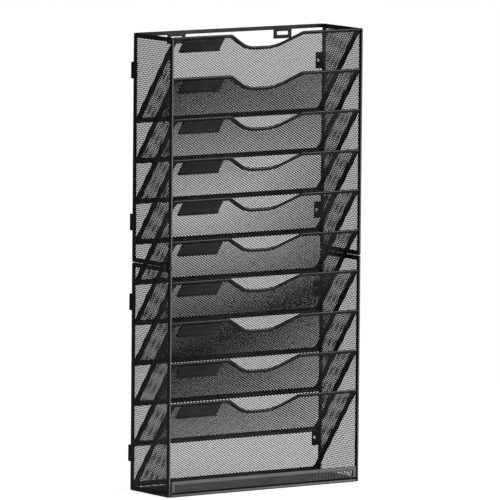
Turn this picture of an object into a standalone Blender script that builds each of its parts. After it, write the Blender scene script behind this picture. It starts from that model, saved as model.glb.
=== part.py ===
"""Ten-pocket wall file organizer: framed steel mesh side panels, sloping pockets and a shelf.

Metres, +Z up. The wall is the plane y = 0 and the front faces -Y. The origin is on the wall,
midway between the side panels, level with their lower edge. Everything is welded or pegged
together, so nothing moves.
"""
import math

import bmesh
import bpy
from mathutils import Matrix, Vector

# Overall sizes
WIDTH = 0.320
DEPTH = 0.094
PANEL_HEIGHT = 0.316
SEAM = 0.002
WALL_GAP = 0.0055
FIT = 0.0003

# Side panels: a flat strip frame round a mesh sheet
RAIL_WIDTH = 0.006
RAIL_THICK = 0.003
PANEL_CORNER_R = 0.0025
PANEL_WINDOW_R = 0.0015

# Mesh sheets, drawn with a few large diamonds in the proportions of the real fine ones
MESH_THICK = 0.0008
MESH_LAP = 0.0025
OPEN_SHARE = 0.80
SIDE_DIAMONDS = (2, 4)
POCKET_DIAMONDS = (4, 3)
FLOOR_DIAMONDS = (4, 2)
LIP_DIAMONDS = (6, 1)

# Pockets: ten sloping framed sheets, each with a finger scoop in its rim
TIERS = 10
TOP_RIM_INSET = 0.0027
POCKET_DROP = 0.1225
POCKET_FOOT_GAP = 0.0025
POCKET_REAR_GAP = 0.0065
STRIP_THICK = 0.0024
POCKET_SIDE_STRIP = 0.0085
POCKET_END_STRIP = 0.009
RIM_STRIP = 0.0055
POCKET_CORNER_R = 0.002
POCKET_WINDOW_R = 0.005
SCOOP_MOUTH_HALF = 0.0593
SCOOP_FLOOR_HALF = 0.0228
SCOOP_DEPTH = 0.0243
SHOULDER_R = 0.008
SCOOP_FLOOR_R = 0.040
SMALLEST_BEND_R = 0.001

# Label holders: a C-section that takes a paper card
LABEL_INSET = 0.0198
LABEL_LENGTH = 0.0667
LABEL_HEIGHT = 0.0213
LABEL_BELOW_RIM = 0.0045
LABEL_METAL = 0.0008
LABEL_LIP = 0.0020
CARD_SPACE = 0.0010

# Rear top plate with two hanging slots
TOP_PLATE_INSET = 0.0024
TOP_PLATE_HEIGHT = 0.018
TOP_PLATE_THICK = 0.0015
SLOT_LENGTH = 0.019
SLOT_HEIGHT = 0.005
SLOT_BELOW_TOP = 0.005
SLOT_FROM_SIDE = 0.038

# Bottom shelf: a framed mesh floor behind a low framed lip
FLOOR_LIFT = 0.0008
FLOOR_STRIP = 0.007
LIP_HEIGHT = 0.0218
LIP_TOP_STRIP = 0.0055
LIP_BOTTOM_STRIP = 0.0042
LIP_END_STRIP = 0.0045

# Wall brackets behind the rear posts
BRACKET_HEIGHT = 0.0225
BRACKET_INSET = 0.052
BRACKET_METAL = 0.0015
BRACKET_FLANGE = 0.014
BRACKET_BEND_R = 0.001
SCREW_HOLE_D = 0.0045

# Studs that locate the upper side panels on the lower ones
STUD_D = 0.0018
STUD_COLLAR_D = 0.0026
STUD_INSET = 0.017
STUD_BITE = 0.0026

ARC_STEP = math.radians(30)
FLAT_ANGLE = math.radians(0.2)
ROUND_SEGMENTS = 12
STUD_SEGMENTS = 8
SIDES = (("left", -1), ("right", 1))
LEVELS = ("lower", "upper")

height = 2 * PANEL_HEIGHT + SEAM
rear_y = -WALL_GAP
front_y = rear_y - DEPTH
inner_half = WIDTH / 2 - RAIL_THICK
sheet_half = inner_half - FIT
floor_top = FLOOR_LIFT + STRIP_THICK
top_rim = height - TOP_RIM_INSET
lowest_rim = floor_top + POCKET_FOOT_GAP + POCKET_DROP
tier_pitch = (top_rim - lowest_rim) / (TIERS - 1)
pocket_run = DEPTH - POCKET_REAR_GAP
pocket_slope = math.atan2(pocket_run, POCKET_DROP)
pocket_length = math.hypot(pocket_run, POCKET_DROP)

for leftover in list(bpy.data.objects):
    bpy.data.objects.remove(leftover)

parts = bpy.data.collections.new("wall_file_organizer")
cutters = bpy.data.collections.new("cutters")
bpy.context.scene.collection.children.link(parts)
bpy.context.scene.collection.children.link(cutters)


def steel(name, colour, roughness, metallic=0.3):
    """A painted steel finish."""
    material = bpy.data.materials.new(name)
    material.use_nodes = True
    shader = material.node_tree.nodes["Principled BSDF"]
    shader.inputs["Base Color"].default_value = (*colour, 1)
    shader.inputs["Roughness"].default_value = roughness
    shader.inputs["Metallic"].default_value = metallic
    return material


FRAME_PAINT = steel("frame_black", (0.018, 0.018, 0.019), 0.38)
MESH_PAINT = steel("mesh_black", (0.022, 0.022, 0.023), 0.45)
LABEL_PAINT = steel("label_holder_black", (0.030, 0.026, 0.029), 0.35)
BRACKET_PAINT = steel("bracket_black", (0.020, 0.020, 0.021), 0.42)
STUD_ZINC = steel("stud_zinc", (0.45, 0.45, 0.46), 0.35, 0.9)


def round_corner(before, corner, after, radius):
    """Points of the arc that rounds one corner of a path."""
    back = (before - corner).normalized()
    ahead = (after - corner).normalized()
    half_angle = back.angle(ahead) / 2
    reach = radius / math.tan(half_angle)
    start = corner + back * reach
    centre = corner + (back + ahead).normalized() * (radius / math.sin(half_angle))
    sweep = math.pi - 2 * half_angle
    turn = math.copysign(sweep, back.x * ahead.y - back.y * ahead.x)
    steps = max(1, math.ceil(sweep / ARC_STEP))
    spoke = start - centre
    return [centre + Matrix.Rotation(-turn * i / steps, 2) @ spoke for i in range(steps + 1)]


def rounded(corners, radii):
    """A closed outline from its corners, each rounded by its radius (0 keeps it sharp)."""
    points = [Vector(corner) for corner in corners]
    outline = []
    for i, (corner, radius) in enumerate(zip(points, radii)):
        if radius > 0:
            outline += round_corner(points[i - 1], corner, points[(i + 1) % len(points)], radius)
        else:
            outline.append(corner)
    return outline


def rectangle(low, high, radius):
    """A rounded rectangle between two opposite corners."""
    corners = [(low[0], low[1]), (high[0], low[1]), (high[0], high[1]), (low[0], high[1])]
    return rounded(corners, [radius] * 4)


def new_object(name, data, collection):
    """Link an object that holds the given data."""
    made = bpy.data.objects.new(name, data)
    collection.objects.link(made)
    return made


def settle(source):
    """Replace an object's data with its evaluated mesh, welded, and drop what made it."""
    bpy.context.view_layer.update()
    seen = source.evaluated_get(bpy.context.evaluated_depsgraph_get())
    mesh = bpy.data.meshes.new_from_object(seen)
    welded = bmesh.new()
    welded.from_mesh(mesh)
    bmesh.ops.remove_doubles(welded, verts=welded.verts, dist=1e-6)
    bmesh.ops.dissolve_limit(welded, angle_limit=FLAT_ANGLE, verts=welded.verts,
                             edges=welded.edges)
    bmesh.ops.recalc_face_normals(welded, faces=welded.faces)
    welded.to_mesh(mesh)
    welded.free()
    bpy.data.objects.remove(source)
    return mesh


def slab(outline, thick, top=0.0):
    """Mesh of a flat plate in the XY plane, from its top face down."""
    curve = bpy.data.curves.new("outline", "CURVE")
    curve.dimensions = "2D"
    curve.fill_mode = "BOTH"
    curve.extrude = thick / 2
    spline = curve.splines.new("POLY")
    spline.points.add(len(outline) - 1)
    for point, place in zip(spline.points, outline):
        point.co = (place[0], place[1], 0, 1)
    spline.use_cyclic_u = True
    mesh = settle(new_object("outline", curve, cutters))
    mesh.transform(Matrix.Translation((0, 0, top - thick / 2)))
    return mesh


def boolean(body, tool, operation="DIFFERENCE"):
    """Mesh of one body after another is cut from it or kept in common with it."""
    target = new_object("body", body, cutters)
    cutter = new_object("cutter", tool, cutters)
    cutter.hide_render = True
    cutter.display_type = "WIRE"
    cut = target.modifiers.new("cut", "BOOLEAN")
    cut.operation = operation
    cut.object = cutter
    mesh = settle(target)
    bpy.data.objects.remove(cutter)
    return mesh


def pierced(outline, windows, thick, top=0.0):
    """Mesh of a flat plate with windows right through it."""
    plate = slab(outline, thick, top)
    for window in windows:
        plate = boolean(plate, slab(window, 3 * thick, top + thick))
    return plate


def cylinder(diameter, low, high, segments=ROUND_SEGMENTS):
    """Mesh of an upright cylinder between two heights."""
    round_bar = bmesh.new()
    bmesh.ops.create_cone(round_bar, cap_ends=True, segments=segments, radius1=diameter / 2,
                          radius2=diameter / 2, depth=high - low,
                          matrix=Matrix.Translation((0, 0, (low + high) / 2)))
    mesh = bpy.data.meshes.new("cylinder")
    round_bar.to_mesh(mesh)
    round_bar.free()
    return mesh


def diamonds(low, high, counts):
    """Mesh of the diamond prisms that fill a rectangle in offset rows, whole ones by counts."""
    reach = 10 * MESH_THICK
    half_cell = [(b - a) / count / 2 for a, b, count in zip(low, high, counts)]
    spread = Matrix.Diagonal((half_cell[0] * OPEN_SHARE, half_cell[1] * OPEN_SHARE, 1, 1))
    prisms = bmesh.new()
    for column in range(2 * counts[0] + 1):
        for row in range(2 * counts[1] + 1):
            if (column + row) % 2:
                continue
            place = Matrix.Translation((low[0] + column * half_cell[0],
                                        low[1] + row * half_cell[1], 0))
            bmesh.ops.create_cone(prisms, cap_ends=True, segments=4, radius1=1, radius2=1,
                                  depth=reach, matrix=place @ spread)
    mesh = bpy.data.meshes.new("diamonds")
    prisms.to_mesh(mesh)
    prisms.free()
    return mesh


def framed(outline, window, seat, thick):
    """Mesh of a strip frame with a rebate in its back that seats the mesh sheet."""
    rebate = MESH_THICK + FIT
    frame = pierced(outline, [window], thick)
    return boolean(frame, slab(seat, 2 * rebate, top=-thick + rebate))


def mesh_sheet(outline, window, low, high, counts, thick):
    """Mesh of the diamond sheet that lies in a frame's rebate, open wherever it shows."""
    through = 6 * MESH_THICK
    openings = boolean(diamonds(low, high, counts), slab(window, through, top=through / 2),
                       "INTERSECT")
    openings.transform(Matrix.Translation((0, 0, -thick)))
    return boolean(slab(outline, MESH_THICK, top=-thick + MESH_THICK), openings)


def place(name, mesh, material, matrix):
    """Add a part to the model: a shared mesh, its finish and where it goes."""
    if not mesh.materials:
        mesh.materials.append(material)
    part = new_object(name, mesh, parts)
    part.matrix_world = matrix
    return part


def build_side_panels():
    """Two stacked framed mesh panels on each side, pegged together across the seam."""
    half = DEPTH / 2
    inside = (half - RAIL_WIDTH, PANEL_HEIGHT - RAIL_WIDTH)
    lap = MESH_LAP
    outline = rectangle((-half, 0), (half, PANEL_HEIGHT), PANEL_CORNER_R)
    window = rectangle((-inside[0], RAIL_WIDTH), inside, PANEL_WINDOW_R)
    seat = rectangle((-inside[0] - lap - FIT, RAIL_WIDTH - lap - FIT),
                     (inside[0] + lap + FIT, inside[1] + lap + FIT), 0)
    sheet = rectangle((-inside[0] - lap, RAIL_WIDTH - lap), (inside[0] + lap, inside[1] + lap), 0)
    frame = framed(outline, window, seat, RAIL_THICK)
    mesh = mesh_sheet(sheet, window, (-inside[0], RAIL_WIDTH), inside,
                      SIDE_DIAMONDS, RAIL_THICK)
    stand = Matrix.Rotation(math.pi / 2, 4, "Z") @ Matrix.Rotation(math.pi / 2, 4, "X")
    turn = Matrix.Rotation(math.pi, 4, "Z")
    stud_hole = stud_holes()
    frames = {"lower": boolean(frame.copy(), stud_hole["top"]),
              "upper": boolean(frame, stud_hole["bottom"])}
    for level, base in zip(LEVELS, (0, PANEL_HEIGHT + SEAM)):
        for side, sign in SIDES:
            facing = stand if sign > 0 else turn @ stand
            spot = Matrix.Translation((sign * WIDTH / 2, (front_y + rear_y) / 2, base))
            place(f"{level}_{side}_side_frame", frames[level], FRAME_PAINT, spot @ facing)
            place(f"{level}_{side}_side_mesh", mesh, MESH_PAINT, spot @ facing)


def stud_places():
    """Distances of the studs from the middle of the side panel."""
    return (-DEPTH / 2 + STUD_INSET, DEPTH / 2 - STUD_INSET)


def stud_holes():
    """Blind stud holes in the rails that meet at the seam, in a side panel's own plane."""
    holes = {}
    for end, mouth in (("top", PANEL_HEIGHT), ("bottom", 0)):
        drill = bmesh.new()
        for across in stud_places():
            upright = Matrix.Translation((across, mouth, -RAIL_THICK / 2))
            bmesh.ops.create_cone(drill, cap_ends=True, segments=STUD_SEGMENTS, radius1=STUD_D / 2 + FIT,
                                  radius2=STUD_D / 2 + FIT, depth=2 * (STUD_BITE + FIT),
                                  matrix=upright @ Matrix.Rotation(math.pi / 2, 4, "X"))
        holes[end] = bpy.data.meshes.new("stud_holes")
        drill.to_mesh(holes[end])
        drill.free()
    return holes


def build_studs():
    """Collared studs, two in each side's seam: the collar spaces the panels apart."""
    profile = [(0, -SEAM / 2 - STUD_BITE), (STUD_D / 2, -SEAM / 2 - STUD_BITE),
               (STUD_D / 2, -SEAM / 2 + FIT), (STUD_COLLAR_D / 2, -SEAM / 2 + FIT),
               (STUD_COLLAR_D / 2, SEAM / 2 - FIT), (STUD_D / 2, SEAM / 2 - FIT),
               (STUD_D / 2, SEAM / 2 + STUD_BITE), (0, SEAM / 2 + STUD_BITE)]
    turned = bmesh.new()
    verts = [turned.verts.new((radius, 0, level)) for radius, level in reversed(profile)]
    edges = [turned.edges.new(pair) for pair in zip(verts, verts[1:])]
    bmesh.ops.spin(turned, geom=verts + edges, cent=(0, 0, 0), axis=(0, 0, 1),
                   angle=2 * math.pi, steps=STUD_SEGMENTS, use_merge=True)
    bmesh.ops.remove_doubles(turned, verts=turned.verts, dist=1e-6)
    bmesh.ops.recalc_face_normals(turned, faces=turned.faces)
    mesh = bpy.data.meshes.new("stud")
    turned.to_mesh(mesh)
    turned.free()
    middle = (front_y + rear_y) / 2
    for side, sign in SIDES:
        for where, across in zip(("front", "rear"), stud_places()):
            spot = (sign * (WIDTH - RAIL_THICK) / 2, middle + across, PANEL_HEIGHT + SEAM / 2)
            place(f"{side}_{where}_stud", mesh, STUD_ZINC, Matrix.Translation(spot))


def pocket_outline(side_inset, rim_inset, end_inset, corner_r):
    """Outline of a pocket sheet, or a line inside it: the rim lies along y = 0."""
    half = sheet_half - side_inset
    ramp = math.atan2(SCOOP_DEPTH, SCOOP_MOUTH_HALF - SCOOP_FLOOR_HALF)
    spread = rim_inset * math.tan(ramp / 2)
    mouth = SCOOP_MOUTH_HALF + spread
    floor = SCOOP_FLOOR_HALF + spread
    rim = -rim_inset
    dip = -SCOOP_DEPTH - rim_inset
    foot = -pocket_length + end_inset
    shoulder_r = max(SHOULDER_R - rim_inset, SMALLEST_BEND_R)
    floor_r = SCOOP_FLOOR_R + rim_inset
    corners = [(-half, foot), (half, foot), (half, rim), (mouth, rim), (floor, dip),
               (-floor, dip), (-mouth, rim), (-half, rim)]
    radii = [corner_r, corner_r, corner_r, shoulder_r, floor_r, floor_r, shoulder_r, corner_r]
    return rounded(corners, radii)


def build_pockets():
    """Ten framed mesh pocket sheets with label holders, sloping down from rim to rear."""
    lap = MESH_LAP
    outline = pocket_outline(0, 0, 0, POCKET_CORNER_R)
    window = pocket_outline(POCKET_SIDE_STRIP, RIM_STRIP, POCKET_END_STRIP, POCKET_WINDOW_R)
    seat = pocket_outline(POCKET_SIDE_STRIP - lap - FIT, RIM_STRIP - lap - FIT,
                          POCKET_END_STRIP - lap - FIT, 0)
    sheet = pocket_outline(POCKET_SIDE_STRIP - lap, RIM_STRIP - lap, POCKET_END_STRIP - lap, 0)
    reach = sheet_half - POCKET_SIDE_STRIP
    frame = framed(outline, window, seat, STRIP_THICK)
    mesh = mesh_sheet(sheet, window, (-reach, -pocket_length + POCKET_END_STRIP),
                      (reach, -RIM_STRIP), POCKET_DIAMONDS, STRIP_THICK)
    holder = label_holder()
    lean = Matrix.Rotation(math.pi / 2 + pocket_slope, 4, "X")
    for tier in range(TIERS):
        spot = Matrix.Translation((0, front_y, top_rim - tier * tier_pitch)) @ lean
        number = f"{tier + 1:02d}"
        place(f"pocket_frame_{number}", frame, FRAME_PAINT, spot)
        place(f"pocket_mesh_{number}", mesh, MESH_PAINT, spot)
        place(f"label_holder_{number}", holder, LABEL_PAINT, spot)


def label_holder():
    """Mesh of a C-section label holder, in the pocket sheet's own plane."""
    deep = 2 * LABEL_METAL + CARD_SPACE
    tall = LABEL_HEIGHT
    metal = LABEL_METAL
    lip = LABEL_LIP
    section = [(0, 0), (tall, 0), (tall, deep), (tall - lip, deep), (tall - lip, deep - metal),
               (tall - metal, deep - metal), (tall - metal, metal), (metal, metal),
               (metal, deep - metal), (lip, deep - metal), (lip, deep), (0, deep)]
    mesh = slab(section, LABEL_LENGTH, top=LABEL_LENGTH)
    across = Matrix.Rotation(math.pi / 2, 4, "Z") @ Matrix.Rotation(math.pi / 2, 4, "X")
    corner = (-WIDTH / 2 + LABEL_INSET, -LABEL_BELOW_RIM - LABEL_HEIGHT, FIT)
    mesh.transform(Matrix.Translation(corner) @ across)
    return mesh


def build_top_plate():
    """Rear plate across the top, with two slots to hang the organizer by."""
    top = height - TOP_PLATE_INSET
    low = top - TOP_PLATE_HEIGHT
    outline = rectangle((-sheet_half, low), (sheet_half, top), 0)
    slots = []
    for sign in (-1, 1):
        near = WIDTH / 2 - SLOT_FROM_SIDE
        ends = sorted((sign * near, sign * (near - SLOT_LENGTH)))
        slot_top = top - SLOT_BELOW_TOP
        slots.append(rectangle((ends[0], slot_top - SLOT_HEIGHT), (ends[1], slot_top),
                               SMALLEST_BEND_R))
    mesh = pierced(outline, slots, TOP_PLATE_THICK, top=-rear_y + TOP_PLATE_THICK)
    place("rear_top_plate", mesh, FRAME_PAINT, Matrix.Rotation(math.pi / 2, 4, "X"))


def build_shelf():
    """Framed mesh floor and the low framed lip in front of it."""
    lip_rear = front_y + STRIP_THICK
    lap = MESH_LAP
    low = (-sheet_half, lip_rear + FIT)
    high = (sheet_half, rear_y)
    strip = FLOOR_STRIP
    inner = ((low[0] + strip, low[1] + strip), (high[0] - strip, high[1] - strip))

    def grown(by):
        return rectangle((inner[0][0] - by, inner[0][1] - by),
                         (inner[1][0] + by, inner[1][1] + by), 0)

    window = rectangle(*inner, PANEL_WINDOW_R)
    frame = framed(rectangle(low, high, SMALLEST_BEND_R), window, grown(lap + FIT), STRIP_THICK)
    mesh = mesh_sheet(grown(lap), window, *inner, FLOOR_DIAMONDS, STRIP_THICK)
    lift = Matrix.Translation((0, 0, floor_top))
    place("shelf_floor_frame", frame, FRAME_PAINT, lift)
    place("shelf_floor_mesh", mesh, MESH_PAINT, lift)

    half = sheet_half - LIP_END_STRIP
    foot, head = LIP_BOTTOM_STRIP, LIP_HEIGHT - LIP_TOP_STRIP

    def lip_line(by):
        return rectangle((-half - by, foot - by), (half + by, head + by), 0)

    outline = rectangle((-sheet_half, 0), (sheet_half, LIP_HEIGHT), SMALLEST_BEND_R)
    lip_window = rectangle((-half, foot), (half, head), SMALLEST_BEND_R)
    lip_frame = framed(outline, lip_window, lip_line(lap + FIT), STRIP_THICK)
    lip_mesh = mesh_sheet(lip_line(lap), lip_window, (-half, foot), (half, head),
                          LIP_DIAMONDS, STRIP_THICK)
    upright = Matrix.Translation((0, front_y, 0)) @ Matrix.Rotation(math.pi / 2, 4, "X")
    place("shelf_lip_frame", lip_frame, FRAME_PAINT, upright)
    place("shelf_lip_mesh", lip_mesh, MESH_PAINT, upright)


def build_brackets():
    """Angle brackets that stand the organizer off the wall, two to each side panel."""
    leg = inner_half - FIT
    metal = BRACKET_METAL
    back = rear_y - (POCKET_REAR_GAP - STRIP_THICK - FIT)
    corners = [(leg, back), (leg, 0), (leg - BRACKET_FLANGE, 0), (leg - BRACKET_FLANGE, -metal),
               (leg - metal, -metal), (leg - metal, back)]
    radii = [0, BRACKET_BEND_R + metal, 0, 0, BRACKET_BEND_R, 0]
    angle = slab(rounded(corners, radii), BRACKET_HEIGHT, top=BRACKET_HEIGHT / 2)
    hole = cylinder(SCREW_HOLE_D, -2 * metal, 2 * metal)
    across = leg - (BRACKET_FLANGE + metal) / 2
    hole.transform(Matrix.Translation((across, 0, 0)) @ Matrix.Rotation(math.pi / 2, 4, "X"))
    right = boolean(angle, hole)
    left = right.copy()
    left.transform(Matrix.Diagonal((-1, 1, 1, 1)))
    left.flip_normals()
    for side, mesh in (("left", left), ("right", right)):
        for level, base in zip(LEVELS, (0, PANEL_HEIGHT + SEAM)):
            for end, inset in (("bottom", BRACKET_INSET), ("top", PANEL_HEIGHT - BRACKET_INSET)):
                spot = Matrix.Translation((0, 0, base + inset))
                place(f"{level}_{side}_{end}_bracket", mesh, BRACKET_PAINT, spot)


build_side_panels()
build_studs()
build_pockets()
build_top_plate()
build_shelf()
build_brackets()
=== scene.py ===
"""Finished look of the wall file organizer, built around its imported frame.

Metres, +Z up. The wall is the plane y = 0 and the front faces -Y. Widths and depths come from the
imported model, and heights from the photograph. Each piece gets what the solids leave out: fine
diamond mesh, folded hems, rounded edges, rivets and powder coat.
"""
import logging
import math
from dataclasses import dataclass
from enum import Enum
from functools import lru_cache
from typing import Iterable, Sequence

import bmesh
import bpy
from mathutils import Matrix, Vector
from mathutils.bvhtree import BVHTree


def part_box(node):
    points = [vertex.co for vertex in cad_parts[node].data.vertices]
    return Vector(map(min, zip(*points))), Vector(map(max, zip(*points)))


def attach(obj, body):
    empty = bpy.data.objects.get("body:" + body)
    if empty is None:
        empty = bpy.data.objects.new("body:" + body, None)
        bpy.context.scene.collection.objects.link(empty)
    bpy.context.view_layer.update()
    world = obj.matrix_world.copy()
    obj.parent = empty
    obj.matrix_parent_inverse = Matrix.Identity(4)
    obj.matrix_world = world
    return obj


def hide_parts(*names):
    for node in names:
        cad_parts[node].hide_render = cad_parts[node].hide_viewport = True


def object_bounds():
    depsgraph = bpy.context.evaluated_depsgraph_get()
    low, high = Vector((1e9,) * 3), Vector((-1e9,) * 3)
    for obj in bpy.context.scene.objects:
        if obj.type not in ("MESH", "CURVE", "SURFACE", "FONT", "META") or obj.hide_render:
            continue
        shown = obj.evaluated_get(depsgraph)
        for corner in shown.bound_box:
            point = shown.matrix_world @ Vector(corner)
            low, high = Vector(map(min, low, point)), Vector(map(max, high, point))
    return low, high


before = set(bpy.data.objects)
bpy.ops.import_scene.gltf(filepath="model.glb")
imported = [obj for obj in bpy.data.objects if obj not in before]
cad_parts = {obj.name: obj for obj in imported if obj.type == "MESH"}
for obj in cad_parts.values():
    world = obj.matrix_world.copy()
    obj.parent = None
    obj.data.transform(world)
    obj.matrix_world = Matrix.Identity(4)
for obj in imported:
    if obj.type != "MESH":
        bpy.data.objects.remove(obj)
CAD_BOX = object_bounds()
LOG = logging.getLogger("organizer")
BODY = "root"
MERGE = 1e-6
FLAT = math.radians(0.5)
SHARP = math.radians(28)
WHITE = (1, 1, 1, 1)
UPRIGHT = Matrix.Rotation(math.pi / 2, 4, "X")


class Side(Enum):
    """The two sides of the organizer, by the sign of their X."""

    LEFT = -1
    RIGHT = 1


class Level(Enum):
    """The two stacked halves of each side, in the names of their nodes."""

    LOWER = "lower"
    UPPER = "upper"


@dataclass(frozen=True)
class Layout:
    """Sizes that the sub-assemblies share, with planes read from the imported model.

    Args:
        height: Height of the two stacked side panels.
        seam: Gap between the upper and the lower one.
        top_rim: Height of the top pocket's rim.
        pitch: Distance from rim to rim.
        run: How far a pocket sheet leans back from its rim to its fold.
        fall: How far it drops over that.
        bases: Where the measured heights of the lower and the upper level start.
    """

    height: float = 0.6318
    seam: float = 0.0005
    top_rim: float = 0.6313
    pitch: float = 0.0559
    run: float = 0.0916
    fall: float = 0.1201
    bases: tuple[float, float] = (0.0, 0.3197)

    @property
    def panel(self) -> float:
        """Height of one side panel."""
        return (self.height - self.seam) / 2

    @property
    def outer(self) -> float:
        """Half the organizer's width."""
        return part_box("lower_right_side_frame")[1].x

    @property
    def inner(self) -> float:
        """Half the width of what hangs between the side panels."""
        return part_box("shelf_lip_frame")[1].x

    @property
    def front(self) -> float:
        """Depth of the front plane."""
        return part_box("lower_right_side_frame")[0].y

    @property
    def rear(self) -> float:
        """Depth of the side panels' rear plane."""
        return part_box("lower_right_side_frame")[1].y

    @property
    def slope(self) -> float:
        """Angle between a pocket sheet and the vertical."""
        return math.atan2(self.run, self.fall)

    @property
    def length(self) -> float:
        """Length of a pocket sheet from its rim to its fold."""
        return math.hypot(self.run, self.fall)

    def sheet(self, node: str) -> Matrix:
        """Matrix from a pocket sheet's own plane to the tier in a node's name.

        Args:
            node: Any node of the tier, which ends in the tier's number.

        Returns:
            The matrix, with the rim along y = 0 and z out of the sheet's front face.
        """
        rim = self.top_rim - self.pitch * (int(node[-2:]) - 1)
        return (Matrix.Translation((0, self.front, rim))
                @ Matrix.Rotation(math.pi / 2 + self.slope, 4, "X"))


LAYOUT = Layout()


# Finishes


class NodeTree:
    """A material's node tree while it is wired."""

    def __init__(self, name: str, **values: object) -> None:
        """Start a material that holds a Principled shader.

        Args:
            name: Name of the material.
            values: The shader's values, by socket as in fill.
        """
        self.material = bpy.data.materials.new(name)
        self.material.use_nodes = True
        self.tree = self.material.node_tree
        self.shader = self.tree.nodes["Principled BSDF"]
        self.fill(self.shader, **values)

    @staticmethod
    def fill(node: bpy.types.Node, **values: object) -> None:
        """Set a node's inputs, which are named with underscores for spaces."""
        for key, value in values.items():
            node.inputs[key.replace("_", " ")].default_value = value

    def add(self, kind: str, **values: object) -> bpy.types.Node:
        """Add a node and set its values.

        Args:
            kind: Blender's name for the node's type.
            values: Its values, by socket as in fill.

        Returns:
            The new node.
        """
        node = self.tree.nodes.new(kind)
        self.fill(node, **values)
        return node

    def wire(self, out: bpy.types.NodeSocket, into: bpy.types.NodeSocket) -> None:
        """Link an output to an input."""
        self.tree.links.new(out, into)


@dataclass(frozen=True)
class PowderCoat:
    """Satin powder coat on steel: near black, finely pebbled, with slight cloudiness.

    Args:
        name: Name of the material.
        slot: The record's slot that the material stands for. Not used.
        dark: Colour where the coat is thick.
        light: Colour where it is thin.
        roughness: Lowest and highest roughness.
        pebble: Size of the pebbles.
        depth: Height of the pebbles.
        relief: How strongly they shade the coat.
        cloud: Size of the cloudy patches.
        stops: Where in the clouds the dark ends and the light starts.
    """

    name: str
    slot: str
    dark: tuple[float, float, float]
    light: tuple[float, float, float]
    roughness: tuple[float, float]
    pebble: float = 0.0006
    depth: float = 0.00002
    relief: float = 0.35
    cloud: float = 0.03
    stops: tuple[float, float] = (0.35, 0.70)

    def material(self) -> bpy.types.Material:
        """Wire the coat's nodes.

        Returns:
            The coat's material.
        """
        nodes = NodeTree(self.name)
        place = nodes.add("ShaderNodeTexCoord").outputs["Object"]
        pebbles = nodes.add("ShaderNodeTexNoise", Scale=1 / self.pebble, Detail=3.0, Roughness=0.6)
        clouds = nodes.add("ShaderNodeTexNoise", Scale=1 / self.cloud, Detail=4.0, Roughness=0.55)
        for pattern in (pebbles, clouds):
            nodes.wire(place, pattern.inputs["Vector"])

        tint = nodes.add("ShaderNodeValToRGB")
        colours = (self.dark, self.light)
        for element, spot, colour in zip(tint.color_ramp.elements, self.stops, colours):
            element.position, element.color = spot, (*colour, 1)
        nodes.wire(clouds.outputs["Fac"], tint.inputs["Fac"])
        nodes.wire(tint.outputs["Color"], nodes.shader.inputs["Base Color"])

        gloss = nodes.add("ShaderNodeMapRange", From_Min=0.3, From_Max=0.7,
                          To_Min=self.roughness[0], To_Max=self.roughness[1])
        nodes.wire(clouds.outputs["Fac"], gloss.inputs["Value"])
        nodes.wire(gloss.outputs["Result"], nodes.shader.inputs["Roughness"])

        relief = nodes.add("ShaderNodeBump", Strength=self.relief, Distance=self.depth)
        nodes.wire(pebbles.outputs["Fac"], relief.inputs["Height"])
        nodes.wire(relief.outputs["Normal"], nodes.shader.inputs["Normal"])
        return nodes.material


@dataclass(frozen=True)
class ZincPlate:
    """Bright zinc on small turned steel parts, with fine turning marks.

    Args:
        name: Name of the material.
        slot: The record's slot that the material stands for. Not used.
        colour: Colour of the metal.
        ridge: Distance between turning marks.
        roughness: Lowest and highest roughness.
    """

    name: str
    slot: str
    colour: tuple[float, float, float] = (0.62, 0.62, 0.60)
    ridge: float = 0.0002
    roughness: tuple[float, float] = (0.22, 0.42)

    def material(self) -> bpy.types.Material:
        """Wire the plate's nodes.

        Returns:
            The plate's material.
        """
        nodes = NodeTree(self.name, Base_Color=(*self.colour, 1), Metallic=1.0)
        place = nodes.add("ShaderNodeTexCoord").outputs["Object"]
        marks = nodes.add("ShaderNodeTexNoise", Scale=1 / self.ridge, Detail=2.0)
        nodes.wire(place, marks.inputs["Vector"])
        gloss = nodes.add("ShaderNodeMapRange", To_Min=self.roughness[0],
                          To_Max=self.roughness[1])
        nodes.wire(marks.outputs["Fac"], gloss.inputs["Value"])
        nodes.wire(gloss.outputs["Result"], nodes.shader.inputs["Roughness"])
        return nodes.material


@dataclass(frozen=True)
class Sweep:
    """Pale studio floor that glows a little, so that it runs into the white behind it.

    Args:
        name: Name of the material.
        shade: Lightness of the floor.
        glow: Brightness of its own glow.
        roughness: Its roughness.
        shine: Strength of its reflections.
    """

    name: str = "studio_floor"
    shade: float = 0.90
    glow: float = 0.85
    roughness: float = 0.9
    shine: float = 0.1

    def material(self) -> bpy.types.Material:
        """Wire the floor's nodes.

        Returns:
            The floor's material.
        """
        return NodeTree(self.name, Base_Color=(self.shade, self.shade, self.shade, 1),
                        Roughness=self.roughness, Specular_IOR_Level=self.shine,
                        Emission_Color=WHITE, Emission_Strength=self.glow).material


FRAME_COAT = PowderCoat("frame_powder_coat", "frame_black",
                        (0.011, 0.011, 0.012), (0.018, 0.018, 0.019), (0.34, 0.42))
PLATE_COAT = PowderCoat("plate_powder_coat", "frame_black",
                        (0.009, 0.009, 0.010), (0.014, 0.014, 0.015), (0.56, 0.66))
NET_COAT = PowderCoat("net_powder_coat", "mesh_black",
                      (0.014, 0.014, 0.015), (0.024, 0.024, 0.025), (0.38, 0.48), pebble=0.0003)
LABEL_COAT = PowderCoat("label_powder_coat", "label_black",
                        (0.018, 0.015, 0.017), (0.028, 0.024, 0.027), (0.30, 0.38))
BRACKET_COAT = PowderCoat("bracket_powder_coat", "bracket_black",
                          (0.010, 0.010, 0.011), (0.016, 0.016, 0.017), (0.40, 0.50))
STUD_PLATE = ZincPlate("stud_zinc_plate", "stud_zinc")


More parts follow.
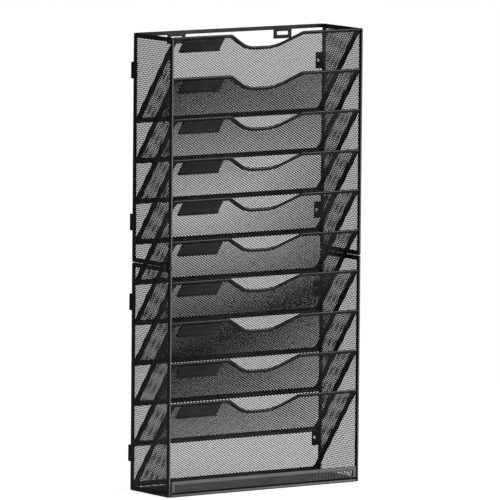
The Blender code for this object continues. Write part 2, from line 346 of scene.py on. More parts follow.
@lru_cache(maxsize=None)
def paint(finish: PowderCoat | ZincPlate | Sweep) -> bpy.types.Material:
    """Material of a finish, which is wired when it is first asked for."""
    return finish.material()


# Metalwork


@dataclass(frozen=True)
class Corner:
    """A corner of a flat outline, and how far along its edges the bend starts."""

    x: float
    y: float
    reach: float


def box_corners(low: Sequence[float], high: Sequence[float], radius: float) -> list[Corner]:
    """Four rounded corners of a rectangle, counter-clockwise from its lowest one.

    Args:
        low: Lowest corner.
        high: Highest corner.
        radius: Radius of every corner.

    Returns:
        The corners.
    """
    spots = ((low[0], low[1]), (high[0], low[1]), (high[0], high[1]), (low[0], high[1]))
    return [Corner(x, y, radius) for x, y in spots]


def verts_of(geometry: Iterable[object]) -> list[bmesh.types.BMVert]:
    """The vertices among what an operator returns."""
    return [item for item in geometry if isinstance(item, bmesh.types.BMVert)]


class Workpiece:
    """A bmesh on the bench, and the cuts and folds that sheet metal gets."""

    def __init__(self) -> None:
        """Start with nothing on the bench."""
        self.bm = bmesh.new()

    @classmethod
    def from_node(cls, node: str) -> "Workpiece":
        """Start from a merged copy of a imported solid, its flat faces made whole.

        Args:
            node: Name of the solid's node.

        Returns:
            The copy.
        """
        work = cls()
        work.bm.from_mesh(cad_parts[node].data)
        bmesh.ops.remove_doubles(work.bm, verts=work.bm.verts, dist=MERGE)
        bmesh.ops.dissolve_limit(work.bm, angle_limit=FLAT, verts=work.bm.verts,
                                 edges=work.bm.edges)
        return work

    @classmethod
    def block(cls, low: Sequence[float], high: Sequence[float]) -> "Workpiece":
        """Start from a rectangular block.

        Args:
            low: Its lowest corner.
            high: Its highest corner.

        Returns:
            The block.
        """
        work = cls()
        low, high = Vector(low), Vector(high)
        bmesh.ops.create_cube(work.bm, size=1.0,
                              matrix=Matrix.LocRotScale((low + high) / 2, None, high - low))
        return work

    @classmethod
    def bar(cls, section: Sequence[Sequence[float]], along: Sequence[float]) -> "Workpiece":
        """Draw a section and push it into a bar.

        Args:
            section: The section's corners in order.
            along: Way from the section to the bar's other end.

        Returns:
            The bar.
        """
        work = cls()
        face = work.bm.faces.new([work.bm.verts.new(spot) for spot in section])
        end = bmesh.ops.extrude_face_region(work.bm, geom=[face])["geom"]
        bmesh.ops.translate(work.bm, vec=along, verts=verts_of(end))
        return work.outward()

    def outward(self) -> "Workpiece":
        """Turn every face outwards."""
        bmesh.ops.recalc_face_normals(self.bm, faces=self.bm.faces)
        return self

    def loop(self, corners: Sequence[Corner], level: float,
             segments: int) -> list[bmesh.types.BMEdge]:
        """Draw a closed loop of edges with bent corners.

        Args:
            corners: The loop's corners in order.
            level: Height of the loop above the sheet's plane.
            segments: Segments in each bend.

        Returns:
            The loop's edges.
        """
        verts = [self.bm.verts.new((corner.x, corner.y, level)) for corner in corners]
        face = self.bm.faces.new(verts)
        for vert, corner in zip(verts, corners):
            bmesh.ops.bevel(self.bm, geom=[vert], offset=corner.reach, offset_type="OFFSET",
                            segments=segments, profile=0.5, affect="VERTICES", material=-1)
        if not face.is_valid:  # a bevel can put a new face in its place
            face = self.bm.faces[:][-1]
        edges = list(face.edges)
        bmesh.ops.delete(self.bm, geom=[face], context="FACES_ONLY")
        return edges

    def ring(self, loops: Sequence[tuple[Sequence[Corner], float]], thick: float,
             segments: int = 5) -> "Workpiece":
        """Build a closed strip frame from nested loops, the same on its front and back.

        Args:
            loops: Corners and height of each loop, from the outer edge to the window.
            thick: Thickness of the strip between its planes.
            segments: Segments in each bend.

        Returns:
            This workpiece.
        """
        drawn = [self.loop(corners, level, segments) for corners, level in loops]
        for outer, inner in zip(drawn, drawn[1:]):
            bmesh.ops.bridge_loops(self.bm, edges=outer + inner)
        back = bmesh.ops.extrude_face_region(self.bm, geom=self.bm.faces[:])["geom"]
        for vert in verts_of(back):
            vert.co.z = -thick - vert.co.z
        return self.outward()

    def soften(self, width: float, segments: int = 2) -> "Workpiece":
        """Round every sharp edge.

        Args:
            width: Width of the rounding on each face.
            segments: Segments across it.

        Returns:
            This workpiece.
        """
        sharp = [edge for edge in self.bm.edges
                 if edge.is_manifold and edge.calc_face_angle(0.0) > SHARP]
        bmesh.ops.bevel(self.bm, geom=sharp, offset=width, offset_type="OFFSET",
                        segments=segments, profile=0.5, affect="EDGES", clamp_overlap=True,
                        material=-1)
        return self

    def join(self, other: "Workpiece") -> "Workpiece":
        """Put another workpiece's mesh beside this one's and clear it away.

        Args:
            other: The other workpiece.

        Returns:
            This workpiece.
        """
        mesh = bpy.data.meshes.new("joined")
        other.bm.to_mesh(mesh)
        other.bm.free()
        self.bm.from_mesh(mesh)
        bpy.data.meshes.remove(mesh)
        return self

    def mesh(self, name: str) -> bpy.types.Mesh:
        """Clear the bench.

        Args:
            name: Name of the finished mesh.

        Returns:
            The finished mesh.
        """
        made = bpy.data.meshes.new(name)
        self.bm.to_mesh(made)
        self.bm.free()
        return made


@dataclass(frozen=True)
class DiamondNet:
    """Expanded steel: diamonds in offset rows between crossing strands.

    Args:
        long_way: Distance between diamonds along their length.
        short_way: Distance between them across it.
        strand: Width of a strand.
        thick: Thickness of the sheet.
        crown: Height of a strand's middle over its edges.
    """

    long_way: float = 0.00546
    short_way: float = 0.00339
    strand: float = 0.00080
    thick: float = 0.00045
    crown: float = 0.00006

    def sheet(self, window: Sequence[Corner], lap: float, middle: float,
              upright: bool = False) -> Workpiece:
        """Cut a net that fills a window and laps under the strip round it.

        Args:
            window: The window's corners.
            lap: How far the net goes under the strip on its straight sides.
            middle: Height of the sheet's middle in the strip's own frame.
            upright: Whether the diamonds stand along Y.

        Returns:
            The net on its workpiece.
        """
        low = Vector((min(c.x for c in window) - lap, min(c.y for c in window) - lap, 0))
        high = Vector((max(c.x for c in window) + lap, max(c.y for c in window) + lap, 0))
        pitch = Vector((self.long_way, self.short_way))
        if upright:
            pitch = pitch.yx
        cells = math.ceil((high.x - low.x) / pitch.x + (high.y - low.y) / pitch.y) + 2
        turn = Matrix.Rotation(math.pi / 4, 4, "Z")
        stretch = Matrix.Diagonal((pitch.x / math.sqrt(2), pitch.y / math.sqrt(2), 1, 1))
        work = Workpiece()
        bmesh.ops.create_grid(work.bm, x_segments=cells, y_segments=cells, size=cells / 2,
                              matrix=Matrix.Translation((low + high) / 2) @ stretch @ turn)
        self.keep_inside(work, window)
        cells_left = work.bm.faces[:]
        bmesh.ops.inset_individual(work.bm, faces=cells_left, thickness=self.strand / 2,
                                   use_even_offset=True)
        rims = {vert for face in cells_left for vert in face.verts}
        bmesh.ops.delete(work.bm, geom=cells_left, context="FACES_ONLY")
        bmesh.ops.translate(work.bm, verts=list(rims), vec=(0, 0, -self.crown))
        for spot, outward in ((low, (-1, 0, 0)), (low, (0, -1, 0)),
                              (high, (1, 0, 0)), (high, (0, 1, 0))):
            everything = work.bm.verts[:] + work.bm.edges[:] + work.bm.faces[:]
            bmesh.ops.bisect_plane(work.bm, geom=everything, plane_co=spot, plane_no=outward,
                                   clear_outer=True)
        bmesh.ops.solidify(work.bm, geom=work.bm.faces[:], thickness=self.thick)
        levels = [vert.co.z for vert in work.outward().bm.verts]
        shift = middle - (min(levels) + max(levels)) / 2
        bmesh.ops.translate(work.bm, verts=work.bm.verts, vec=(0, 0, shift))
        return work

    @staticmethod
    def keep_inside(work: Workpiece, window: Sequence[Corner]) -> None:
        """Delete the cells that don't reach into a window.

        Args:
            work: The grid of cells.
            window: The window's corners.
        """
        pane = Workpiece()
        edges = pane.loop(window, 0.0, segments=6)
        bmesh.ops.contextual_create(pane.bm, geom=edges)
        bmesh.ops.triangulate(pane.bm, faces=pane.bm.faces, ngon_method="EAR_CLIP")
        glass = BVHTree.FromBMesh(pane.bm)
        up = Vector((0, 0, 1))
        seen = {vert for vert in work.bm.verts
                if glass.ray_cast(vert.co + up, -up)[0] is not None}
        outside = [face for face in work.bm.faces if not any(vert in seen for vert in face.verts)]
        bmesh.ops.delete(work.bm, geom=outside, context="FACES")
        pane.bm.free()


# Pieces


def show(name: str, mesh: bpy.types.Mesh, place: Matrix, coat: PowderCoat | ZincPlate,
         *stands_for: str, smooth: bool = True) -> None:
    """Add a finished piece, with its place in its mesh.

    Args:
        name: Name of the piece.
        mesh: Its mesh, which is copied.
        place: Where it goes.
        coat: Its finish.
        stands_for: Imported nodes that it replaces.
        smooth: Whether its rounded edges are shaded smooth.
    """
    own = mesh.copy()
    own.name = name
    own.transform(place)
    if place.determinant() < 0:
        own.flip_normals()
    own.materials.append(paint(coat))
    if smooth:
        own.shade_smooth()
        own.set_sharp_from_angle(angle=SHARP)
    piece = bpy.data.objects.new(name, own)
    bpy.context.scene.collection.objects.link(piece)
    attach(piece, BODY)
    if stands_for:
        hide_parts(*stands_for)
    LOG.info("%s: %d faces", name, len(own.polygons))


@dataclass
class SidePanels:
    """Two stacked panels on each side: a flat strip frame round a net, riveted near the front.

    Args:
        rail: Width of the frame's strip.
        corner: Radius of its outer corners.
        window_corner: Radius of its window's corners.
        edge: Rounding of its edges.
        lap: How far the net goes into the strip.
        net_depth: How far the net lies behind the outer face.
        rivet: Radius of a rivet's head.
        dome: Height of the head over the strip's face.
        rivet_back: How far the rivets lie behind the front.
        steps: Segments of the head from its top to its rim.
        turns: Segments round it.
    """

    rail: float = 0.006
    corner: float = 0.0025
    window_corner: float = 0.0015
    edge: float = 0.0006
    lap: float = 0.0025
    net_depth: float = 0.0022
    rivet: float = 0.0019
    dome: float = 0.0003
    rivet_back: float = 0.0145
    steps: int = 5
    turns: int = 20

    def build(self, net: DiamondNet) -> None:
        """Build and dress the four frames, nets and their rivets.

        Args:
            net: The panels' net.
        """
        low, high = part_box("lower_left_side_frame")
        half, tall, thick = (high.y - low.y) / 2, LAYOUT.panel, high.x - low.x - self.dome
        inner = (half - self.rail, tall - self.rail)
        outline = box_corners((-half, 0), (half, tall), self.corner)
        window = box_corners((-inner[0], self.rail), inner, self.window_corner)
        rails = Workpiece().ring([(outline, 0.0), (window, 0.0)], thick)
        rails = rails.soften(self.edge, segments=3).mesh("side_frame")
        strands = net.sheet(window, self.lap, -self.net_depth, upright=True).mesh("side_net")
        head = self.head().mesh("rivet_head")
        middle = self.rail / 2
        for level, base in zip(Level, (0.0, tall + LAYOUT.seam)):
            for side in Side:
                start = f"{level.value}_{side.name.lower()}_side"
                place = self.place(side, base)
                show(f"{start}_rails", rails, place, FRAME_COAT, f"{start}_frame")
                show(f"{start}_net", strands, place, NET_COAT, f"{start}_mesh", smooth=False)
                rivets = (middle, tall - middle) if level is Level.LOWER else (middle,)
                for number, spot in enumerate(rivets, 1):
                    across = side.value * (self.rivet_back - half)
                    show(f"{start}_rivet_{number}", head,
                         place @ Matrix.Translation((across, spot, 0)), STUD_PLATE)

    def head(self) -> Workpiece:
        """Spin a domed rivet head about its axis.

        Returns:
            The head, with its axis along z.
        """
        work = Workpiece()
        tilts = [math.pi * step / (2 * self.steps) for step in range(self.steps + 1)]
        rise = [(self.rivet * math.sin(tilt), self.dome * math.cos(tilt)) for tilt in tilts]
        rise += [(self.rivet, -self.dome), (0.0, -self.dome)]
        verts = [work.bm.verts.new((across, 0, up)) for across, up in rise]
        edges = [work.bm.edges.new(pair) for pair in zip(verts, verts[1:])]
        bmesh.ops.spin(work.bm, geom=verts + edges, cent=(0, 0, 0), axis=(0, 0, 1),
                       angle=2 * math.pi, steps=self.turns, use_merge=True)
        bmesh.ops.remove_doubles(work.bm, verts=work.bm.verts, dist=MERGE)
        return work.outward()

    def place(self, side: Side, base: float) -> Matrix:
        """Matrix from a panel's own plane to its side: x to depth, y up, z outwards.

        Args:
            side: Which side it is on.
            base: Height of its lower edge.

        Returns:
            The matrix.
        """
        sign = side.value
        face = sign * (LAYOUT.outer - self.dome)
        return Matrix(((0, 0, sign, face), (sign, 0, 0, (LAYOUT.front + LAYOUT.rear) / 2),
                       (0, 1, 0, base), (0, 0, 0, 1)))


@dataclass
class Pockets:
    """Ten sloping pocket sheets, each a hemmed strip frame with a finger scoop round a net.

    Args:
        thick: Thickness of the strip.
        side_strip: Width of the strip at the sides.
        rim_strip: Width of the strip along the rim.
        foot_strip: Width of the strip along the foot.
        flange: Height of the foot that is folded down.
        edge: Radius of the strip's rounded outer edge.
        edge_turns: Degrees round that edge of its loops.
        foot_share: Share of that edge's width at the foot.
        leaf_edge: Rounding of the strip's other edges.
        foot_edge: Rounding of the folded foot's edges.
        bead: Width of the rolled edge round the strip.
        foot_bead: The same along the foot.
        step: Drop from the rolled edge to the strip's flat leaf.
        groove: Width of that drop.
        scoop_mouth: Half the scoop's width at the rim.
        scoop_floor: Half the width of its level floor.
        scoop_depth: Its depth down the sheet.
        shoulder: How far along its edges a shoulder's bend starts.
        floor_bend: The same for the floor's bends.
        least_bend: Least bend of a shoulder further in.
        corner: Radius of the sheet's corners.
        window_corner: Radius of the window's corners.
        lap: How far the net goes into the strip.
    """

    thick: float = 0.0024
    side_strip: float = 0.0085
    rim_strip: float = 0.0055
    foot_strip: float = 0.003
    flange: float = 0.0038
    edge: float = 0.0011
    edge_turns: tuple[int, ...] = (0, 25, 50, 75)
    foot_share: float = 0.5
    leaf_edge: float = 0.0004
    foot_edge: float = 0.0005
    bead: float = 0.0029
    foot_bead: float = 0.0009
    step: float = 0.0005
    groove: float = 0.0004
    scoop_mouth: float = 0.0593
    scoop_floor: float = 0.0228
    scoop_depth: float = 0.0243
    shoulder: float = 0.0024
    floor_bend: float = 0.0121
    least_bend: float = 0.0005
    corner: float = 0.002
    window_corner: float = 0.005
    lap: float = 0.0025

    @property
    def window(self) -> list[Corner]:
        """Corners of the window."""
        return self.outline(self.side_strip, self.rim_strip, self.foot_strip, self.window_corner)

    def build(self, net: DiamondNet) -> None:
        """Build one sheet and put its copies at every tier.

        Args:
            net: The sheets' net.
        """
        strip = self.strip().soften(self.leaf_edge).join(self.foot()).mesh("pocket_strip")
        strands = net.sheet(self.window, self.lap, -self.thick / 2).mesh("pocket_net")
        for node in sorted(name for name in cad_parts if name.startswith("pocket_frame_")):
            number = node[-2:]
            place = LAYOUT.sheet(node)
            show(f"pocket_strip_{number}", strip, place, FRAME_COAT, node)
            show(f"pocket_net_{number}", strands, place, NET_COAT, f"pocket_mesh_{number}",
                 smooth=False)

    def strip(self) -> Workpiece:
        """Form the strip round the sheet, with its rounded edge, rolled bead and sunk leaf.

        Returns:
            The strip in the sheet's own plane.
        """
        loops = []
        for turn in self.edge_turns:
            angle = math.radians(turn)
            inset = self.edge * (1 - math.cos(angle))
            loops.append((self.outline(inset, inset, inset * self.foot_share, self.corner),
                          -self.edge * (1 - math.sin(angle))))
        leaf, foot = self.bead + self.groove, self.foot_bead + self.groove
        loops += [(self.outline(self.bead, self.bead, self.foot_bead, self.corner), 0.0),
                  (self.outline(leaf, leaf, foot, self.corner), -self.step),
                  (self.window, -self.step)]
        return Workpiece().ring(loops, self.thick, segments=6)

    def foot(self) -> Workpiece:
        """Fold the foot that stands flat at the rear, from end to end of the sheet.

        Returns:
            The foot in the sheet's own plane.
        """
        slope, length, half = LAYOUT.slope, LAYOUT.length, LAYOUT.inner
        down = Vector((0, -math.cos(slope), math.sin(slope)))
        rear = Vector((0, -math.sin(slope), -math.cos(slope)))
        fold = Vector((half, -length, 0))
        heel = Vector((half, -length - self.thick * math.tan(slope / 2), -self.thick))
        toe = fold + self.flange * down
        back = Vector((0, self.foot_bead, 0))
        section = (fold + back, fold, toe, toe + self.thick * rear, heel, heel + back)
        return Workpiece.bar(section, (-2 * half, 0, 0)).soften(self.foot_edge)

    def outline(self, side: float, rim: float, foot: float, corner: float) -> list[Corner]:
        """Corners of the sheet's outline, or of a line inside it.

        Args:
            side: Inset from its sides.
            rim: Inset from its rim.
            foot: Inset from its foot.
            corner: Radius of the four outer corners.

        Returns:
            The corners in order.
        """
        ramp = math.atan2(self.scoop_depth, self.scoop_mouth - self.scoop_floor)
        spread = rim * math.tan(ramp / 2)
        mouth, floor = self.scoop_mouth + spread, self.scoop_floor + spread
        shoulder = max(self.shoulder - spread, self.least_bend)
        floor_bend = self.floor_bend + spread
        top, dip = -rim, -self.scoop_depth - rim
        bottom, edge = foot - LAYOUT.length, LAYOUT.inner - side
        return [Corner(-edge, bottom, corner), Corner(edge, bottom, corner),
                Corner(edge, top, corner), Corner(mouth, top, shoulder),
                Corner(floor, dip, floor_bend), Corner(-floor, dip, floor_bend),
                Corner(-mouth, top, shoulder), Corner(-edge, top, corner)]


@dataclass
class LabelHolders:
    """Folded holders for a paper card, one at the left of each rim.

    Args:
        inset: From the organizer's left side to a holder.
        length: Length of a holder.
        tall: Its height down the sheet.
        below_rim: How far it hangs below the rim.
        metal: Thickness of the metal.
        lip: Height of the lips that hold the card.
        card: Room for the card behind the lips.
        clear: Gap between a holder and the sheet.
        edge: Rounding of the folds.
    """

    inset: float = 0.0209
    length: float = 0.0672
    tall: float = 0.0213
    below_rim: float = 0.0045
    metal: float = 0.0008
    lip: float = 0.0020
    card: float = 0.0010
    clear: float = 0.0003
    edge: float = 0.00025

    def build(self) -> None:
        """Fold one holder and put its copies at every tier."""
        holder = self.fold().mesh("label_holder")
        for node in sorted(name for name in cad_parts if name.startswith("label_holder_")):
            show(f"card_holder_{node[-2:]}", holder, LAYOUT.sheet(node), LABEL_COAT, node)

    def fold(self) -> Workpiece:
        """Fold the C-shaped holder.

        Returns:
            The holder in the sheet's own plane.
        """
        tall, lip, metal, deep = self.tall, self.lip, self.metal, 2 * self.metal + self.card
        section = ((0, 0), (tall, 0), (tall, deep), (tall - lip, deep), (tall - lip, deep - metal),
                   (tall - metal, deep - metal), (tall - metal, metal), (metal, metal),
                   (metal, deep - metal), (lip, deep - metal), (lip, deep), (0, deep))
        left, foot = self.inset - LAYOUT.outer, -self.below_rim - self.tall
        spots = [(left, foot + up, self.clear + out) for up, out in section]
        return Workpiece.bar(spots, (self.length, 0, 0)).soften(self.edge)


@dataclass
class Shelf:
    """The bottom shelf: a framed net floor, a sill in front and a low framed lip over the sill.

    Args:
        floor_strip: Width of the floor's strip.
        corner: Radius of the corners.
        window_corner: Radius of the windows' corners.
        edge: Rounding of the edges.
        floor_lap: How far the floor's net goes into its strip.
        sill: Height of the sill, which runs from side panel to side panel.
        sill_edge: Rounding of the sill.
        lip_foot: Height of the lip's foot, which leaves a dark gap over the sill.
        lip_gap: Gap between the lip's ends and the side panels.
        lip_top: Width of the lip's strip along its top.
        lip_end: The same at its ends.
        lip_hem: The same along its foot.
        lip_lap: How far the lip's net goes into its strip.
        ledge: Depth of the ledge behind the lip's foot.
        metal: Thickness of the ledge.
        stay: Width and depth of the two stays between the ledge and the floor.
    """

    floor_strip: float = 0.007
    corner: float = 0.001
    window_corner: float = 0.0010
    edge: float = 0.0004
    floor_lap: float = 0.0025
    sill: float = 0.0044
    sill_edge: float = 0.0012
    lip_foot: float = 0.0065
    lip_gap: float = 0.0013
    lip_top: float = 0.0057
    lip_end: float = 0.0053
    lip_hem: float = 0.0007
    lip_lap: float = 0.0005
    ledge: float = 0.0090
    metal: float = 0.0008
    stay: tuple[float, float] = (0.0050, 0.0030)

    def build(self, net: DiamondNet) -> None:
        """Build and dress the floor, the sill and the lip round their nets."""
        self.floor(net)
        self.front(net)

    def floor(self, net: DiamondNet) -> None:
        """Build the floor, which lies in its own plane.

        Args:
            net: The shelf's net.
        """
        low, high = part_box("shelf_floor_frame")
        thick, strip = high.z - low.z, self.floor_strip
        window = box_corners((low.x + strip, low.y + strip), (high.x - strip, high.y - strip),
                             self.window_corner)
        rails = Workpiece().ring([(box_corners(low, high, self.corner), 0.0), (window, 0.0)], thick)
        place = Matrix.Translation((0, 0, high.z))
        show("shelf_floor_rails", rails.soften(self.edge).mesh("floor"), place, FRAME_COAT,
             "shelf_floor_frame")
        strands = net.sheet(window, self.floor_lap, -thick / 2).mesh("floor_net")
        show("shelf_floor_net", strands, place, NET_COAT, "shelf_floor_mesh", smooth=False)

    def front(self, net: DiamondNet) -> None:
        """Build the sill and the lip, in the front plane: x across, y up, z out.

        Args:
            net: The shelf's net.
        """
        low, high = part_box("shelf_lip_frame")
        half, tall, thick = (high.x - low.x) / 2, high.z - low.z, high.y - low.y
        end, foot = half - self.lip_gap, self.lip_foot
        place = Matrix.Translation((0, low.y, low.z)) @ UPRIGHT

        sill = Workpiece.block((-half, 0, -thick), (half, self.sill, 0))
        sill = sill.soften(self.sill_edge, segments=4).mesh("sill")
        show("shelf_sill", sill, place, FRAME_COAT)

        window = box_corners((self.lip_end - end, foot + self.lip_hem),
                             (end - self.lip_end, tall - self.lip_top), self.window_corner)
        rails = Workpiece().ring([(box_corners((-end, foot), (end, tall), self.corner), 0.0),
                                  (window, 0.0)], thick).soften(self.edge)
        rails.join(Workpiece.block((-end, foot, -self.ledge), (end, foot + self.metal, -self.edge)))
        floor_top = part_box("shelf_floor_frame")[1].z - low.z
        for side in Side:
            left, right = sorted((side.value * end, side.value * (end - self.stay[0])))
            rails.join(Workpiece.block((left, floor_top, -self.ledge),
                                       (right, foot, self.stay[1] - self.ledge)))
        show("shelf_lip_rails", rails.mesh("lip"), place, FRAME_COAT, "shelf_lip_frame")
        strands = net.sheet(window, self.lip_lap, -thick / 2).mesh("lip_net")
        show("shelf_lip_net", strands, place, NET_COAT, "shelf_lip_mesh", smooth=False)


@dataclass
class TopPlate:
    """The narrow rear strip along the top, with two slotted lugs to hang the organizer by.

    Args:
        strip: Height of the strip.
        thick: Thickness of the plate.
        from_side: From the organizer's side to a lug.
        lug: Width and height of a lug, the strip's height included.
        slot: Width and height of a slot.
        slot_top: From the plate's top to a slot.
        corner: Rounding of the corners of lugs and slots.
        edge: Rounding of the edges.
    """

    strip: float = 0.0055
    thick: float = 0.0015
    from_side: float = 0.0559
    lug: tuple[float, float] = (0.030, 0.018)
    slot: tuple[float, float] = (0.019, 0.005)
    slot_top: float = 0.008
    corner: float = 0.0010
    edge: float = 0.00025

    def build(self) -> None:
        """Cut and dress the plate."""
        place = Matrix.Translation((0, LAYOUT.rear, LAYOUT.height)) @ UPRIGHT
        plate = self.cut().soften(self.edge).mesh("top_plate")
        show("rear_top_strip", plate, place, PLATE_COAT, "rear_top_plate")

    def cut(self) -> Workpiece:
        """Cut the plate with its lugs and slots.

        Returns:
            The plate in its own plane, with its top along y = 0.
        """
        half, outer = LAYOUT.inner, LAYOUT.outer - self.from_side
        inner, middle = outer - self.lug[0], outer - self.lug[0] / 2
        near, far = middle - self.slot[0] / 2, middle + self.slot[0] / 2
        columns = (-half, -outer, -far, -near, -inner, inner, near, far, outer, half)
        slot_foot = -self.slot_top - self.slot[1]
        rows = (-self.lug[1], slot_foot, -self.slot_top, -self.strip, 0.0)
        work = Workpiece()
        across, up = len(columns) - 1, len(rows) - 1
        bmesh.ops.create_grid(work.bm, x_segments=across, y_segments=up, size=0.5)
        for vert in work.bm.verts:
            vert.co = (columns[round((vert.co.x + 0.5) * across)],
                       rows[round((vert.co.y + 0.5) * up)], 0)
        cut = []
        for face in work.bm.faces:
            spot = face.calc_center_median()
            beside = not inner < abs(spot.x) < outer and spot.y < -self.strip
            if beside or near < abs(spot.x) < far and slot_foot < spot.y < -self.slot_top:
                cut.append(face)
        bmesh.ops.delete(work.bm, geom=cut, context="FACES")
        bmesh.ops.solidify(work.bm, geom=work.bm.faces[:], thickness=-self.thick)
        work.outward()
        upright = [edge for edge in work.bm.edges if edge.calc_face_angle(0.0) > SHARP
                   and (edge.verts[0].co - edge.verts[1].co).xy.length < MERGE
                   and abs(edge.verts[0].co.x) < half - MERGE]
        bmesh.ops.bevel(work.bm, geom=upright, offset=self.corner, offset_type="OFFSET",
                        segments=4, profile=0.5, affect="EDGES", material=-1)
        return work


@dataclass
class WallBrackets:
    """Angle brackets flush with the sides, two behind the rear post of each panel.

    Args:
        tall: Height of a bracket.
        flange: Width of the flange on the wall, from the side's face.
        metal: Thickness of the metal.
        feet: Heights of the lower and upper bracket over their level's base.
        hole: Radius of the screw hole.
        hole_bend: Reach of the bends that round the hole, as a share of its radius.
        hole_in: From the side's face to the middle of the hole.
        corner: Radius of the flange's corners.
        clear: Gap between a bracket's leg and the post.
        edge: Rounding of the edges and the bend.
    """

    tall: float = 0.0229
    flange: float = 0.010
    metal: float = 0.0015
    feet: tuple[float, float] = (0.0397, 0.2490)
    hole: float = 0.00225
    hole_bend: float = 0.98
    hole_in: float = 0.00575
    corner: float = 0.0006
    clear: float = 0.0002
    edge: float = 0.0004

    def build(self) -> None:
        """Bend one bracket and put its copies behind the posts."""
        bracket = self.bend().mesh("wall_bracket")
        for level, base in zip(Level, LAYOUT.bases):
            for side in Side:
                for end, foot in zip(("bottom", "top"), self.feet):
                    sign = side.value
                    place = Matrix(((-sign, 0, 0, sign * LAYOUT.outer), (0, 0, -1, -self.metal),
                                    (0, 1, 0, base + foot), (0, 0, 0, 1)))
                    name = f"{level.value}_{side.name.lower()}_{end}"
                    show(f"{name}_angle", bracket, place, BRACKET_COAT, f"{name}_bracket")

    def bend(self) -> Workpiece:
        """Bend the bracket.

        Returns:
            The bracket, with x inwards from the side's face, y up and z from wall to post.
        """
        outline = box_corners((0, 0), (self.flange, self.tall), self.corner)
        low = (self.hole_in - self.hole, self.tall / 2 - self.hole)
        high = (self.hole_in + self.hole, self.tall / 2 + self.hole)
        hole = box_corners(low, high, self.hole * self.hole_bend)
        work = Workpiece().ring([(outline, 0.0), (hole, 0.0)], self.metal, segments=6)
        everything = work.bm.verts[:] + work.bm.edges[:] + work.bm.faces[:]
        bmesh.ops.bisect_plane(work.bm, geom=everything, plane_co=(self.metal, 0, 0),
                               plane_no=(1, 0, 0))
        leg = [face for face in work.bm.faces if face.normal.z > math.cos(SHARP)
               and face.calc_center_median().x < self.metal]
        grown = bmesh.ops.extrude_face_region(work.bm, geom=leg)["geom"]
        reach = -LAYOUT.rear - self.metal - self.clear
        bmesh.ops.translate(work.bm, vec=(0, 0, reach), verts=verts_of(grown))
        bmesh.ops.delete(work.bm, geom=[face for face in leg if face.is_valid], context="FACES")
        return work.outward().soften(self.edge)


@dataclass
class Studs:
    """Zinc-plated studs in the seam between the side panels.

    Args:
        edge: Rounding of their edges.
    """

    edge: float = 0.0001

    def build(self) -> None:
        """Dress a softened copy of each stud."""
        for node in sorted(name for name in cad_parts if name.endswith("_stud")):
            stud = Workpiece.from_node(node).soften(self.edge).mesh(node)
            show(f"{node}_finished", stud, Matrix.Identity(4), STUD_PLATE, node)


# The studio


@dataclass
class Camera:
    """The photograph's viewpoint: a long lens to the left of the front, a little above.

    Args:
        azimuth: Degrees to the left of the front.
        elevation: Degrees above the level.
        roll: Degrees that the camera is tipped.
        distance: From the aim to the camera.
        focal_px: Focal length in pixels of the picture.
        picture_px: Width of the picture in pixels.
        aim_right: How far the aim lies to the right of the organizer's middle.
        aim_up: How far it lies above it.
        sensor_mm: Width of the sensor.
        far: Farthest distance that it sees.
    """

    azimuth: float = 35.0
    elevation: float = 6.344
    roll: float = 0.532
    distance: float = 11.7353
    focal_px: float = 8508.5
    picture_px: float = 500.0
    aim_right: float = 0.00437
    aim_up: float = 0.01210
    sensor_mm: float = 36.0
    far: float = 100.0

    def build(self) -> None:
        """Set the scene's camera."""
        across, up = math.radians(self.azimuth), math.radians(self.elevation)
        ahead = Vector((math.sin(across) * math.cos(up), math.cos(across) * math.cos(up),
                        -math.sin(up)))
        level = Vector((math.cos(across), -math.sin(across), 0))
        tip = Matrix.Rotation(math.radians(self.roll), 3, -ahead)
        right = tip @ level
        top = tip @ level.cross(ahead)
        middle = Vector((0, (LAYOUT.front + LAYOUT.rear) / 2, LAYOUT.height / 2))
        aim = middle + right * self.aim_right + top * self.aim_up
        lens = bpy.data.cameras.new("camera")
        lens.sensor_width = self.sensor_mm
        lens.lens = self.focal_px / self.picture_px * self.sensor_mm
        lens.clip_end = self.far
        seat = bpy.data.objects.new("camera", lens)
        axes = Matrix((right, top, -ahead)).transposed().to_4x4()
        seat.matrix_world = Matrix.Translation(aim - ahead * self.distance) @ axes
        bpy.context.scene.collection.objects.link(seat)
        bpy.context.scene.camera = seat


@dataclass(frozen=True)
class Softbox:
    """A square soft light that faces the organizer.

    Args:
        name: Name of the light.
        azimuth: Degrees to the right of the front.
        elevation: Degrees above the level.
        distance: From the organizer's middle.
        size: Width and height.
        radiance: Brightness of its face.
    """

    name: str
    azimuth: float
    elevation: float
    distance: float
    size: tuple[float, float]
    radiance: float

    def build(self, middle: Vector) -> None:
        """Hang the light.

        Args:
            middle: The organizer's middle, which the light faces.
        """
        across, up = math.radians(self.azimuth), math.radians(self.elevation)
        away = Vector((math.sin(across) * math.cos(up), -math.cos(across) * math.cos(up),
                       math.sin(up)))
        lamp = bpy.data.lights.new(self.name, "AREA")
        lamp.shape = "RECTANGLE"
        lamp.size, lamp.size_y = self.size
        lamp.energy = self.radiance * math.pi * self.size[0] * self.size[1]
        box = bpy.data.objects.new(self.name, lamp)
        box.matrix_world = (Matrix.Translation(middle + away * self.distance)
                            @ away.to_track_quat("Z", "Y").to_matrix().to_4x4())
        box.visible_camera = False
        bpy.context.scene.collection.objects.link(box)


SOFTBOXES = (Softbox("front_right", 38.0, 0.0, 2.4, (1.9, 2.4), 4.4),
             Softbox("overhead", 0.0, 88.0, 2.4, (3.0, 3.0), 0.5))


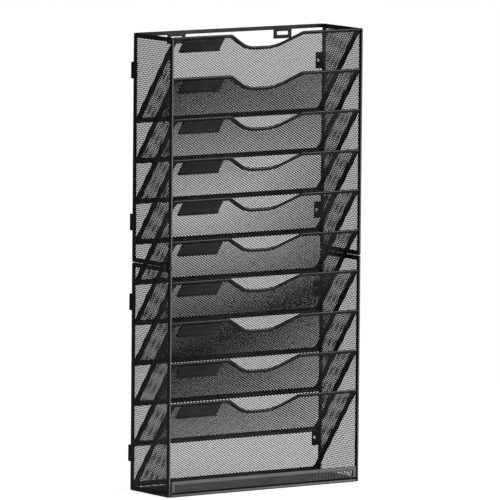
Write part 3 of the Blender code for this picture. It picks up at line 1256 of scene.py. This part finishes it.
@dataclass
class Studio:
    """Pale floor, bright surroundings and two soft lights.

    Args:
        floor_radius: Radius of the floor.
        floor_segments: Segments round its edge.
        floor_gap: How far the floor lies below the organizer.
        backdrop: Brightness of the surroundings as the camera sees them.
        ambience: Brightness of the surroundings as a light.
    """

    floor_radius: float = 1.2
    floor_segments: int = 96
    floor_gap: float = 0.0002
    backdrop: float = 1.0
    ambience: float = 0.05

    def build(self) -> None:
        """Lay the floor, paint the surroundings and hang the lights."""
        self.floor()
        self.surroundings()
        for light in SOFTBOXES:
            light.build((CAD_BOX[0] + CAD_BOX[1]) / 2)
        bpy.context.scene.view_settings.view_transform = "Standard"

    def floor(self) -> None:
        """Lay a round pale floor."""
        disc = Workpiece()
        bmesh.ops.create_circle(disc.bm, cap_ends=True, segments=self.floor_segments,
                                radius=self.floor_radius)
        mesh = disc.mesh("studio_floor")
        mesh.transform(Matrix.Translation((0, 0, -self.floor_gap)))
        mesh.materials.append(paint(Sweep()))
        floor = bpy.data.objects.new("studio_floor", mesh)
        floor.visible_glossy = floor.visible_shadow = False
        bpy.context.scene.collection.objects.link(floor)

    def surroundings(self) -> None:
        """Set white behind the object and a dim, even light elsewhere."""
        world = bpy.data.worlds.new("surroundings")
        world.use_nodes = True
        tree = world.node_tree
        out = tree.nodes["World Output"]
        light = tree.nodes["Background"]
        white = tree.nodes.new("ShaderNodeBackground")
        NodeTree.fill(light, Color=WHITE, Strength=self.ambience)
        NodeTree.fill(white, Color=WHITE, Strength=self.backdrop)
        rays = tree.nodes.new("ShaderNodeLightPath")
        mix = tree.nodes.new("ShaderNodeMixShader")
        tree.links.new(rays.outputs["Is Camera Ray"], mix.inputs[0])
        tree.links.new(light.outputs[0], mix.inputs[1])
        tree.links.new(white.outputs[0], mix.inputs[2])
        tree.links.new(mix.outputs[0], out.inputs["Surface"])
        bpy.context.scene.world = world


def main() -> None:
    """Build the organizer's sub-assemblies in order, then the studio."""
    logging.basicConfig(level=logging.INFO, format="%(name)s %(message)s")
    net = DiamondNet()
    SidePanels().build(net)
    Pockets().build(net)
    LabelHolders().build()
    Shelf().build(net)
    TopPlate().build()
    WallBrackets().build()
    Studs().build()
    Camera().build()
    Studio().build()


if __name__ == "__main__":
    main()
